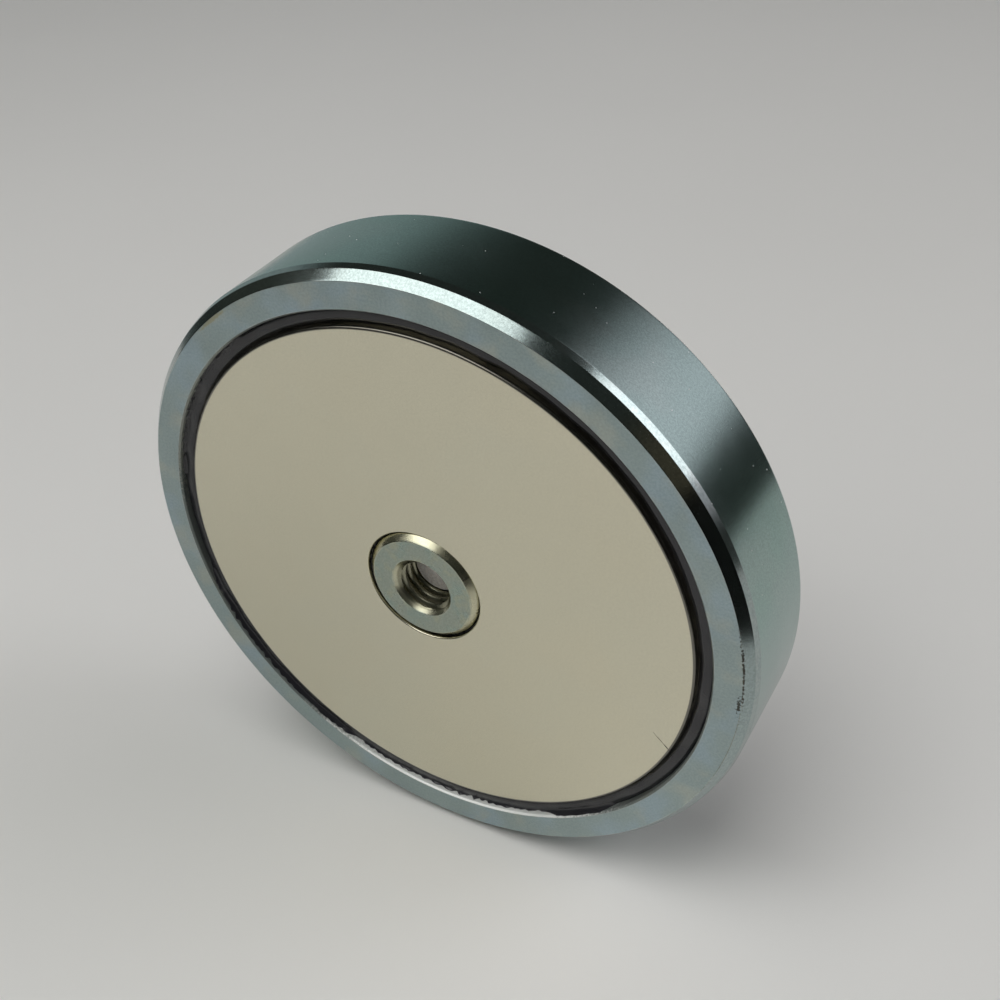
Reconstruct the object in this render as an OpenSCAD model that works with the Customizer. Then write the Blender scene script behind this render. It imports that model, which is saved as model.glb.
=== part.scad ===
// Single-sided pot magnet with a screwed-in lifting eye, for magnet fishing.
//
// The magnet stands on its rim. +Z is up, the pull face looks along -Y and the
// lifting eye points along +Y. The origin is the centre of the pull face.
// All sizes are in millimetres. Every piece is drawn where it sits.

/* [Cup] */
// Outside diameter of the steel cup
cup_d = 110; // [96:1:140]
// Height of the cup from the pull face to its back
cup_h = 20.5; // [19:0.5:30]
// Width of the flat rim that lands on the steel
rim_w = 4.35; // [3:0.05:6]
// Thickness of the cup's floor behind the magnet
floor_t = 9.9; // [7:0.1:11]

/* [Rim edges] */
// Depth of the front edge chamfer
front_edge_h = 1.5; // [0.5:0.1:2.5]
// How far the front edge chamfer goes in from the wall
front_edge_w = 1.25; // [0.5:0.05:2]
// Depth of the shallow lead bevel behind the chamfer
lead_h = 1.1; // [0.5:0.05:2]
// How far the lead bevel goes in from the wall
lead_w = 0.35; // [0.05:0.05:0.6]
// Back edge chamfer of the cup
back_edge = 1.3; // [0.5:0.1:2]
// Small chamfer on the inside edge of the rim
inner_edge = 0.3; // [0.1:0.05:0.6]

/* [Ring magnet] */
// Width of the potted gap between the magnet and the cup
potting_w = 2.6; // [1.5:0.1:4]
// How far the magnet's face sits behind the rim
magnet_set = 0.4; // [0.1:0.05:1]
// Chamfer on the magnet's edges
magnet_edge = 0.4; // [0.2:0.05:0.8]
// Thickness of the adhesive film under the magnet
film_t = 0.2; // [0.1:0.05:0.5]

/* [Threaded bush] */
// Outside diameter of the bush in the magnet's bore
bush_d = 20; // [18:0.1:26]
// Diameter of the spigot pressed through the cup's floor
spigot_d = 16; // [14:0.5:17]
// Chamfer round the bush's face
bush_edge = 1; // [0.4:0.05:1.5]
// Width of the potted gap between the bush and the magnet
bore_gap = 0.4; // [0.2:0.05:0.8]
// Thread diameter of the eye and the bush
thread_d = 10; // [8:2:12]
// Thread pitch
thread_pitch = 1.5; // [1.25:0.25:1.75]
// How far the thread's mouths open past its full radius
mouth_w = 0.45; // [0.2:0.05:0.8]
// Depth of the thread's mouths
mouth_h = 1.2; // [0.4:0.05:1.5]

/* [Potting] */
// How far the potting sits behind the rim
potting_set = 1.3; // [0.8:0.05:2]
// Depth that the potting's edges sink below its level
sink = 0.3; // [0.1:0.05:0.5]

/* [Lifting eye] */
// Outside diameter of the eye
eye_d = 45; // [36:1:54]
// Diameter of the eye's round section
eye_wire = 10; // [8:0.5:12]
// Diameter of the collar
collar_d = 25; // [20:1:30]
// Thickness of the collar
collar_h = 3.5; // [2.5:0.5:5]
// Height of the neck above the collar's seat
neck_h = 8; // [6:0.5:9]
// Length of the threaded shank under the collar
shank_l = 17.5; // [15:0.5:18]

/* [Lock washer] */
// Outside diameter of the spring lock washer
washer_d = 18.1; // [16:0.1:20]
// Thickness of the spring lock washer
washer_h = 2.2; // [1.6:0.1:3]
// Width of the washer's split
split_w = 1.2; // [0.6:0.1:2]

/* [Hidden] */
$fn = 128;

cup_r = cup_d / 2;
rim_r = cup_r - front_edge_w - lead_w;
pocket_r = rim_r - rim_w - inner_edge;
pocket_h = cup_h - floor_t;
magnet_r = pocket_r - potting_w;
magnet_back = pocket_h - film_t;
bush_r = bush_d / 2;
magnet_bore_r = bush_r + bore_gap;
spigot_r = spigot_d / 2;
thread_r = thread_d / 2;
// Radius of the tapped hole at the crests of its thread
crest_r = thread_r - thread_pitch / 2;
mouth_r = thread_r + mouth_w;
collar_seat = cup_h + washer_h;
tip_y = collar_seat - shank_l;
eye_r = (eye_d - eye_wire) / 2;
eye_y = collar_seat + eye_d / 2;
washer_bore_r = thread_r + 0.1;
// Radial clearance of the shank in the bush
run_gap = 0.05;

ZINC = [0.60, 0.66, 0.68];
NICKEL = [0.70, 0.68, 0.61];
POTTING = [0.07, 0.07, 0.08];
FILM = [0.45, 0.42, 0.34];
STEEL = [0.62, 0.62, 0.61];

// Turns a profile of [radius, depth behind the pull face] about the Y axis.
module turned(profile) {
    rotate([-90, 0, 0]) rotate_extrude() polygon(profile);
}

// The potting ring in a gap, with its edges sunk along both walls.
module potting(inner_r, outer_r) {
    run = min(sink, (outer_r - inner_r) / 3);
    turned([
        [inner_r, potting_set + sink], [inner_r + run, potting_set],
        [outer_r - run, potting_set], [outer_r, potting_set + sink],
        [outer_r, pocket_h], [inner_r, pocket_h]
    ]);
}

// Turned steel cup with a pocket for the magnet and a hole for the spigot.
module cup() {
    color(ZINC) turned([
        [spigot_r, pocket_h], [pocket_r, pocket_h], [pocket_r, inner_edge],
        [pocket_r + inner_edge, 0], [rim_r, 0],
        [cup_r - lead_w, front_edge_h], [cup_r, front_edge_h + lead_h],
        [cup_r, cup_h - back_edge], [cup_r - back_edge, cup_h],
        [spigot_r, cup_h]
    ]);
}

// Plated neodymium ring.
module ring_magnet() {
    color(NICKEL) turned([
        [magnet_bore_r, magnet_set + magnet_edge],
        [magnet_bore_r + magnet_edge, magnet_set],
        [magnet_r - magnet_edge, magnet_set],
        [magnet_r, magnet_set + magnet_edge],
        [magnet_r, magnet_back], [magnet_bore_r, magnet_back]
    ]);
}

// Steel bush that centres the magnet. Its spigot is pressed through the floor.
// The bore is at the thread's crests ahead of the eye's tip and at the
// thread's full radius where the eye's shank sits in it.
module threaded_bush() {
    step_y = tip_y - 0.2;
    color(ZINC) turned([
        [mouth_r, 0], [bush_r - bush_edge, 0], [bush_r, bush_edge],
        [bush_r, pocket_h], [spigot_r, pocket_h], [spigot_r, cup_h],
        [mouth_r, cup_h], [thread_r, cup_h - mouth_w], [thread_r, step_y],
        [crest_r, step_y], [crest_r, mouth_h]
    ]);
}

// Black epoxy between the cup and the magnet.
module outer_potting() {
    color(POTTING) potting(magnet_r, pocket_r);
}

// Black epoxy between the magnet and the bush.
module bore_potting() {
    color(POTTING) potting(bush_r, magnet_bore_r);
}

// Adhesive that holds the magnet to the cup's floor.
module bond_film() {
    color(FILM) turned([
        [magnet_bore_r, magnet_back], [magnet_r, magnet_back],
        [magnet_r, pocket_h], [magnet_bore_r, pocket_h]
    ]);
}

// Split spring washer under the eye's collar.
module lock_washer() {
    color(STEEL) difference() {
        turned([
            [washer_bore_r, cup_h], [washer_d / 2, cup_h],
            [washer_d / 2, collar_seat], [washer_bore_r, collar_seat]
        ]);
        translate([0, cup_h + washer_h / 2, washer_d / 2])
            rotate([0, 0, 20])
                cube([split_w, 2 * washer_h, washer_d], center = true);
    }
}

// Forged lifting eye with its collar, neck and shank in one piece.
module eyebolt() {
    shank_r = thread_r - run_gap;
    tip = 0.9;
    color(STEEL) union() {
        turned([
            [0, tip_y], [shank_r - tip, tip_y], [shank_r, tip_y + tip],
            [shank_r, collar_seat], [collar_d / 2 - 0.6, collar_seat],
            [collar_d / 2, collar_seat + 0.6],
            [collar_d / 2, collar_seat + collar_h - 0.8],
            [collar_d / 2 - 0.8, collar_seat + collar_h],
            [eye_wire * 0.65, collar_seat + neck_h], [0, collar_seat + neck_h]
        ]);
        translate([0, eye_y, 0]) rotate([0, 90, 0])
            rotate_extrude() translate([eye_r, 0]) circle(d = eye_wire);
    }
}

cup();
ring_magnet();
threaded_bush();
outer_potting();
bore_potting();
bond_film();
lock_washer();
eyebolt();
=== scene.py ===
"""Looks of a magnet fishing magnet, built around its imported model.

Everything is in metres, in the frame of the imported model: +Z is up, the pull
face looks along -Y, the lifting eye points along +Y, and the origin is the
centre of the pull face. The magnet stands on its rim on a pale table.
"""

import logging
import math
from collections.abc import Callable, Sequence
from dataclasses import dataclass
from enum import Enum

import bmesh
import bpy
import numpy as np
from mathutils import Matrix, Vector


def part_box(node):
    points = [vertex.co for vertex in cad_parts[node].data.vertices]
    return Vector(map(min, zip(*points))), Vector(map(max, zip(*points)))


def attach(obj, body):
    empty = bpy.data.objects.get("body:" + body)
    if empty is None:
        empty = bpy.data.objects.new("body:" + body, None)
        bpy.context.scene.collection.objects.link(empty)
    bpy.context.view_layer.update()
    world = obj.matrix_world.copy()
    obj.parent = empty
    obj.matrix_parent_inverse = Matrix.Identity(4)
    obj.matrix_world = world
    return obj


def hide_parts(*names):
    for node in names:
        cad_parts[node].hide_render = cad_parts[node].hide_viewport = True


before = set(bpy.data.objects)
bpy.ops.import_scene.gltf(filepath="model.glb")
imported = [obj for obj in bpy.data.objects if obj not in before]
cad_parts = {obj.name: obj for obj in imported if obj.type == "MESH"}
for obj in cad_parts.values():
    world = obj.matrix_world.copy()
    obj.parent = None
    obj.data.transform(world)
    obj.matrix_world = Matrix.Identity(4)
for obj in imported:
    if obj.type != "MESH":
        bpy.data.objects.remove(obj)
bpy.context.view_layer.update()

LOG = logging.getLogger("magnet")
MM = 0.001
TAU = 2 * math.pi
TINY = 1e-6
WELD = 0.002 * MM
Colour = tuple[float, float, float]
Socket = bpy.types.NodeSocket


# ---------------------------------------------------------------- mesh making


@dataclass(frozen=True)
class Corner:
    """One corner of a turned outline: its radius, depth, rounding and how much edge colour it takes: rubbed
    wear, and painted shade on the nickel.
    """

    radius: float
    depth: float
    fillet: float = 0.1 * MM
    mark: float = 1.0


def rounded_outline(corners: Sequence[Corner], steps: int = 4,
                    support: float = 0.3 * MM, most: float = 0.4) -> tuple[np.ndarray, np.ndarray]:
    """Rounds every corner of an outline that is closed on itself.

    Args:
        corners: The corners in order.
        steps: How many facets each rounding has.
        support: How far from a rounding its plain neighbour begins.
        most: The largest share of a side that one rounding takes.

    Returns:
        The (radius, depth) points, and at each the corner's mark on a rounding and 0 off it.
    """
    points: list[np.ndarray] = []
    marks: list[float] = []
    count = len(corners)
    places = [np.array((c.radius, c.depth)) for c in corners]
    for i, corner in enumerate(corners):
        here, before, after = places[i], places[i - 1], places[(i + 1) % count]
        back, on = before - here, after - here
        back_length, on_length = np.linalg.norm(back), np.linalg.norm(on)
        back, on = back / back_length, on / on_length
        half = math.acos(float(np.clip(back @ on, -1, 1))) / 2
        reach = min(corner.fillet / math.tan(half), most * back_length, most * on_length)
        radius = reach * math.tan(half)
        bisector = (back + on) / np.linalg.norm(back + on)
        centre = here + bisector * radius / math.sin(half)
        first, last = here + back * reach - centre, here + on * reach - centre
        sweep = math.pi - 2 * half
        plain = reach + support
        if back_length > 4 * plain:
            points.append(here + back * plain)
            marks.append(0.0)
        for step in range(steps + 1):
            share = step / steps
            arm = (first * math.sin((1 - share) * sweep) + last * math.sin(share * sweep)) / math.sin(sweep)
            points.append(centre + arm)
            marks.append(corner.mark)
        if on_length > 4 * plain:
            points.append(here + on * plain)
            marks.append(0.0)
    return np.array(points), np.array(marks)


def mesh_object(name: str, vertices: np.ndarray, faces: Sequence[Sequence[int]],
                marks: np.ndarray | None = None, merge: float = 0.0) -> bpy.types.Object:
    """Makes a smooth-shaded mesh object.

    Args:
        name: The piece's name.
        vertices: The points, one row each.
        faces: The point numbers of each face, in outward order.
        marks: A number for each point, kept as the attribute "edge".
        merge: Points closer than this become one.

    Returns:
        The new object, linked to the scene.
    """
    mesh = bpy.data.meshes.new(name)
    mesh.from_pydata(vertices.tolist(), [], [list(map(int, f)) for f in faces])
    if marks is not None:
        mesh.attributes.new("edge", "FLOAT", "POINT").data.foreach_set("value", marks.astype(np.float32))
    if merge > 0:
        work = bmesh.new()
        work.from_mesh(mesh)
        bmesh.ops.remove_doubles(work, verts=work.verts, dist=merge)
        bmesh.ops.dissolve_degenerate(work, edges=work.edges, dist=merge)
        work.to_mesh(mesh)
        work.free()
    mesh.validate()
    piece = bpy.data.objects.new(name, mesh)
    bpy.context.scene.collection.objects.link(piece)
    return piece


def even_shading(piece: bpy.types.Object, crease_deg: float = 38.0) -> None:
    """Shades flat faces flat and roundings round, with creases left sharp.

    Args:
        piece: The mesh object.
        crease_deg: Faces that meet at more than this angle keep a sharp edge.
    """
    mesh = piece.data
    mesh.shade_smooth()
    mesh.set_sharp_from_angle(angle=math.radians(crease_deg))
    weighted = piece.modifiers.new("even_shading", "WEIGHTED_NORMAL")
    weighted.keep_sharp = True
    apply_modifiers(piece)


def apply_modifiers(piece: bpy.types.Object) -> None:
    """Bakes a piece's modifiers into its mesh."""
    graph = bpy.context.evaluated_depsgraph_get()
    graph.update()
    mesh = bpy.data.meshes.new_from_object(piece.evaluated_get(graph))
    piece.modifiers.clear()
    old = piece.data
    piece.data = mesh
    mesh.name = piece.name
    bpy.data.meshes.remove(old)


def spun(radii: np.ndarray, depths: np.ndarray, angles: np.ndarray) -> np.ndarray:
    """Points at these radii, depths and angles about the magnet's axis.

    Args:
        radii: Distance from the axis.
        depths: Place along +Y.
        angles: Angle from +X towards +Z, in radians.

    Returns:
        An array with a last axis of x, y, z.
    """
    radii, depths, angles = np.broadcast_arrays(radii, depths, angles)
    return np.stack((radii * np.cos(angles), depths, radii * np.sin(angles)), -1)


def wrapped_quads(columns: int, rows: int, close_columns: bool, close_rows: bool) -> list[list[int]]:
    """Faces of a grid of points stored column by column.

    Args:
        columns: How many columns the grid has.
        rows: How many points each column has.
        close_columns: Whether the last column joins the first.
        close_rows: Whether each column is closed on itself.

    Returns:
        The faces, which look outward where the rows run anticlockwise.
    """
    faces = []
    for c in range(columns if close_columns else columns - 1):
        right = (c + 1) % columns
        for r in range(rows if close_rows else rows - 1):
            up = (r + 1) % rows
            faces.append([c * rows + r, c * rows + up, right * rows + up, right * rows + r])
    return faces


def turned_piece(name: str, corners: Sequence[Corner], segments: int, steps: int = 4) -> bpy.types.Object:
    """Turns a closed outline about the magnet's axis.

    Args:
        name: The piece's name.
        corners: The outline, anticlockwise in radius and depth.
        segments: How many facets go round.
        steps: How many facets each rounded corner has.

    Returns:
        The turned object.
    """
    outline, marks = rounded_outline(corners, steps)
    angles = np.linspace(0, TAU, segments, endpoint=False)[:, None]
    points = spun(outline[:, 0], outline[:, 1], angles).reshape(-1, 3)
    faces = wrapped_quads(segments, len(outline), True, True)
    piece = mesh_object(name, points, faces, np.tile(marks, segments))
    even_shading(piece)
    return piece


def ragged(angles: np.ndarray, seed: int, waves: tuple[int, int], count: int = 14) -> np.ndarray:
    """A wave round the circle that looks accidental and meets itself.

    Args:
        angles: Angles in radians.
        seed: Chooses the wave.
        waves: The fewest and the most cycles round the circle.
        count: How many cycles are added together.

    Returns:
        Values mostly between -1 and 1.
    """
    rng = np.random.RandomState(seed)
    total = np.zeros_like(angles)
    for _ in range(count):
        cycles = rng.randint(waves[0], waves[1] + 1)
        total += np.sin(cycles * angles + rng.uniform(0, TAU)) * rng.uniform(0.5, 1.0)
    return total / math.sqrt(count * 0.3)


def smooth_step(value: np.ndarray, low: float, high: float) -> np.ndarray:
    """Rises smoothly from 0 at low to 1 at high."""
    share = np.clip((value - low) / (high - low), 0, 1)
    return share * share * (3 - 2 * share)


# --------------------------------------------------------------- shader graph


class Graph:
    """Adds and joins the nodes of one shader, world or group tree."""

    def __init__(self, tree: bpy.types.NodeTree) -> None:
        """Keeps the tree to work on."""
        self.tree = tree

    def add(self, kind: str, inputs: dict | None = None, **settings: object) -> bpy.types.Node:
        """Adds one node.

        Args:
            kind: Blender's name for the node.
            inputs: A value, or a socket to join, for each named or numbered input.
            **settings: The node's own settings.

        Returns:
            The new node.
        """
        node = self.tree.nodes.new(kind)
        for key, value in settings.items():
            setattr(node, key, value)
        for key, value in (inputs or {}).items():
            self.feed(node.inputs[key], value)
        return node

    def feed(self, target: Socket, value: object) -> None:
        """Joins a socket to an input, or sets the input's own value."""
        if isinstance(value, Socket):
            self.tree.links.new(value, target)
        elif isinstance(value, tuple) and target.type == "RGBA":
            target.default_value = (*value, 1.0)
        else:
            target.default_value = value

    def math(self, operation: str, first: object, second: object = 0.0, clamp: bool = False) -> Socket:
        """One step of arithmetic on values or sockets."""
        terms = {0: first, 1: second}
        return self.add("ShaderNodeMath", terms, operation=operation, use_clamp=clamp).outputs[0]

    def product(self, *factors: object) -> Socket:
        """Multiplies values or sockets together."""
        total = factors[0]
        for factor in factors[1:]:
            total = self.math("MULTIPLY", total, factor)
        return total

    def ramp(self, value: object, low: float, high: float, start: float = 0.0, end: float = 1.0) -> Socket:
        """Takes a value smoothly from start, at low, to end, at high."""
        limits = {"Value": value, "From Min": low, "From Max": high, "To Min": start, "To Max": end}
        return self.add("ShaderNodeMapRange", limits, interpolation_type="SMOOTHSTEP").outputs["Result"]

    def mix(self, share: object, first: object, second: object, blend: str = "MIX") -> Socket:
        """Mixes two colours."""
        node = self.add("ShaderNodeMix", data_type="RGBA", blend_type=blend)
        for number, value in ((0, share), (6, first), (7, second)):
            self.feed(node.inputs[number], value)
        return node.outputs[2]

    def noise(self, vector: object, scale: object, detail: float = 2.0, rough: float = 0.5) -> Socket:
        """Soft random values over a vector."""
        return self.add("ShaderNodeTexNoise", {"Vector": vector, "Scale": scale, "Detail": detail,
                                               "Roughness": rough}).outputs[0]

    def drift(self, place: Socket, scale: float, detail: float, rough: float, middle: float,
              swing: float) -> Socket:
        """Noise that swings softly about a middle value."""
        low, high = 0.3, 0.7
        return self.ramp(self.noise(place, scale, detail, rough), low, high, middle - swing, middle + swing)

    def effect(self, group: bpy.types.NodeTree, place: Socket, **values: object) -> Socket:
        """Places a shared effect.

        Args:
            group: The effect's group.
            place: The position to give it.
            **values: The effect's other inputs, with an underscore for each space.

        Returns:
            What the effect puts out.
        """
        inputs = {name.replace("_", " "): value for name, value in values.items()}
        return self.add("ShaderNodeGroup", {"Position": place, **inputs}, node_tree=group).outputs[0]

    def bump(self, height: object, distance: float, strength: float = 1.0,
             normal: Socket | None = None) -> Socket:
        """Turns a height into a bent surface normal."""
        inputs = {"Height": height, "Distance": distance, "Strength": strength}
        if normal is not None:
            inputs["Normal"] = normal
        return self.add("ShaderNodeBump", inputs).outputs[0]


class Shape(Enum):
    """The kinds of socket that an effect's group has."""

    VALUE = "NodeSocketFloat"
    VECTOR = "NodeSocketVector"
    COLOUR = "NodeSocketColor"


class Effects:
    """The surface effects that several finishes share, each one shader group."""

    def __init__(self) -> None:
        """Builds every group once."""
        self.turning = self._turning()
        self.mottle = self._mottle()
        self.specks = self._specks()
        self.edge_wear_and_painted_shade = self._edge_wear_and_painted_shade()
        self.stain_and_painted_light = self._stain_and_painted_light()
        self.peel = self._peel()

    @staticmethod
    def _group(name: str, output: str, values: Sequence[str],
               colours: Sequence[str] = ()) -> tuple[Graph, dict[str, Socket], Socket]:
        """Starts a group that works on a position.

        Args:
            name: The group's name.
            output: The name of what it puts out: a height, a mask or a colour.
            values: The names of its plain inputs.
            colours: The names of its colour inputs.

        Returns:
            The group's graph, its inputs by name and the socket that takes its output.
        """
        tree = bpy.data.node_groups.new(name, "ShaderNodeTree")
        shapes = {"Position": Shape.VECTOR, **dict.fromkeys(values, Shape.VALUE),
                  **dict.fromkeys(colours, Shape.COLOUR)}
        for label, shape in shapes.items():
            tree.interface.new_socket(name=label, in_out="INPUT", socket_type=shape.value)
        made = Shape.COLOUR if output == "Color" else Shape.VALUE
        tree.interface.new_socket(name=output, in_out="OUTPUT", socket_type=made.value)
        graph = Graph(tree)
        enter, leave = graph.add("NodeGroupInput"), graph.add("NodeGroupOutput")
        return graph, {label: enter.outputs[label] for label in shapes}, leave.inputs[output]

    @staticmethod
    def _round_the_axis(graph: Graph, position: Socket) -> tuple[Socket, Socket, Socket, Socket]:
        """Splits a position into radius, depth and the cosine and sine of its angle."""
        parts = graph.add("ShaderNodeSeparateXYZ", {0: position})
        flat = graph.add("ShaderNodeCombineXYZ", {"X": parts.outputs["X"], "Z": parts.outputs["Z"]})
        radius = graph.add("ShaderNodeVectorMath", {0: flat.outputs[0]}, operation="LENGTH").outputs["Value"]
        safe = graph.math("MAXIMUM", radius, TINY)
        cosine = graph.math("DIVIDE", parts.outputs["X"], safe)
        sine = graph.math("DIVIDE", parts.outputs["Z"], safe)
        return radius, parts.outputs["Y"], cosine, sine

    def _turning(self) -> bpy.types.NodeTree:
        """Fine marks that a lathe tool leaves round the axis, as a height."""
        graph, ins, leave = self._group("turning_marks", "Height", ("Lines", "Wander"))
        radius, depth, cosine, sine = self._round_the_axis(graph, ins["Position"])
        vector = graph.add("ShaderNodeCombineXYZ", {
            "X": graph.product(cosine, ins["Wander"]), "Y": graph.product(sine, ins["Wander"]),
            "Z": graph.product(radius, ins["Lines"])})
        noise = graph.add("ShaderNodeTexNoise", {
            "Vector": vector.outputs[0], "W": graph.product(depth, ins["Lines"]), "Scale": 1.0, "Detail": 2.0,
            "Roughness": 0.6}, noise_dimensions="4D")
        graph.feed(leave, noise.outputs[0])
        return graph.tree

    def _mottle(self) -> bpy.types.NodeTree:
        """Cloudy drift between three tints, as on passivated plating."""
        graph, ins, leave = self._group("mottle", "Color", ("Scale", "Amount"), ("Base", "Cool", "Warm"))
        apart, finer = (0.37, 0.11, 0.73), 1.7
        cool = graph.ramp(graph.noise(ins["Position"], ins["Scale"], 3.0), 0.46, 0.66)
        moved = graph.add("ShaderNodeVectorMath", {0: ins["Position"], 1: apart}, operation="ADD").outputs[0]
        warm = graph.ramp(graph.noise(moved, graph.product(ins["Scale"], finer), 3.0), 0.50, 0.70)
        colour = graph.mix(graph.product(cool, ins["Amount"]), ins["Base"], ins["Cool"])
        graph.feed(leave, graph.mix(graph.product(warm, ins["Amount"]), colour, ins["Warm"]))
        return graph.tree

    def _specks(self) -> bpy.types.NodeTree:
        """Scattered pin-point specks, as a mask."""
        graph, ins, leave = self._group("specks", "Mask", ("Scale", "Size", "Share"))
        cells = graph.add("ShaderNodeTexVoronoi", {"Vector": ins["Position"], "Scale": ins["Scale"]})
        far = graph.math("DIVIDE", cells.outputs["Distance"], ins["Size"])
        near = graph.math("SUBTRACT", 1.0, far, True)
        pick = graph.add("ShaderNodeSeparateColor", {0: cells.outputs["Color"]}).outputs[0]
        chosen = graph.math("LESS_THAN", pick, ins["Share"])
        graph.feed(leave, graph.product(graph.math("MULTIPLY", near, 2.0, True), chosen))
        return graph.tree

    def _edge_wear_and_painted_shade(self) -> bpy.types.NodeTree:
        """Where rounded edges take an edge colour, as a mask that can be uneven: rubbed wear on most
        finishes, painted shade on the nickel's edges.
        """
        graph, ins, leave = self._group("edge_wear_and_painted_shade", "Mask", ("Scale", "Evenness", "Amount"))
        edge = graph.add("ShaderNodeAttribute", attribute_name="edge").outputs["Fac"]
        patchy = graph.ramp(graph.noise(ins["Position"], ins["Scale"], 4.0), 0.38, 0.62)
        patchy = graph.math("MAXIMUM", patchy, ins["Evenness"])
        graph.feed(leave, graph.product(graph.ramp(edge, 0.6, 1.0), patchy, ins["Amount"]))
        return graph.tree

    def _stain_and_painted_light(self) -> bpy.types.NodeTree:
        """A blotch at one angle and radius, with a broken outline, as a mask: used for real stains and for
        painted light.
        """
        graph, ins, leave = self._group(
            "stain_and_painted_light", "Mask", ("Angle", "Half Angle", "Radius", "Half Radius", "Breakup", "Slant"))
        radius, _, cosine, sine = self._round_the_axis(graph, ins["Position"])
        angle = graph.math("ARCTAN2", sine, cosine)
        out = graph.math("SUBTRACT", radius, ins["Radius"])
        turn = graph.math("SUBTRACT", angle, graph.product(out, ins["Slant"]))
        turn = graph.math("WRAP", graph.math("SUBTRACT", turn, ins["Angle"]), math.pi)
        turn.node.inputs[2].default_value = -math.pi
        along = graph.math("DIVIDE", turn, ins["Half Angle"])
        across = graph.math("DIVIDE", out, ins["Half Radius"])
        squares = graph.math("ADD", graph.product(along, along), graph.product(across, across))
        far = graph.math("SQRT", squares)
        noise = graph.math("SUBTRACT", graph.noise(ins["Position"], 2600.0, 4.0, 0.6), 0.5)
        far = graph.math("ADD", far, graph.product(noise, ins["Breakup"]))
        graph.feed(leave, graph.ramp(far, 0.55, 1.0, 1.0, 0.0))
        return graph.tree

    def _peel(self) -> bpy.types.NodeTree:
        """The slight orange peel of a plated or blasted surface, as a height."""
        graph, ins, leave = self._group("peel", "Height", ("Scale",))
        graph.feed(leave, graph.noise(ins["Position"], ins["Scale"], 2.0, 0.6))
        return graph.tree


# -------------------------------------------------------------------- finishes


BACKDROP: Colour = (0.46, 0.46, 0.455)
SPECK_SCALE = 900.0
SPECK_SIZE = 0.12
# So wide a stain is as strong at every angle.
ALL_ROUND = 4000.0


def blank_material(name: str) -> tuple[bpy.types.Material, Graph, Socket]:
    """Starts a material.

    Args:
        name: The material's name.

    Returns:
        The material, its graph and the place on the piece.
    """
    material = bpy.data.materials.new(name)
    material.use_nodes = True
    material.node_tree.nodes.clear()
    graph = Graph(material.node_tree)
    return material, graph, graph.add("ShaderNodeTexCoord").outputs["Object"]


@dataclass(frozen=True)
class StainAndPaintedLight:
    """A blotch on a turned face, used for real stains and for painted light: its place, its spread, its
    colour and its lean in radians a metre.
    """

    angle_deg: float
    half_deg: float
    radius: float
    half_radius: float
    colour: Colour
    strength: float
    breakup: float = 1.6
    slant: float = 0.0
    roughness: float = 0.25


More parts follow.
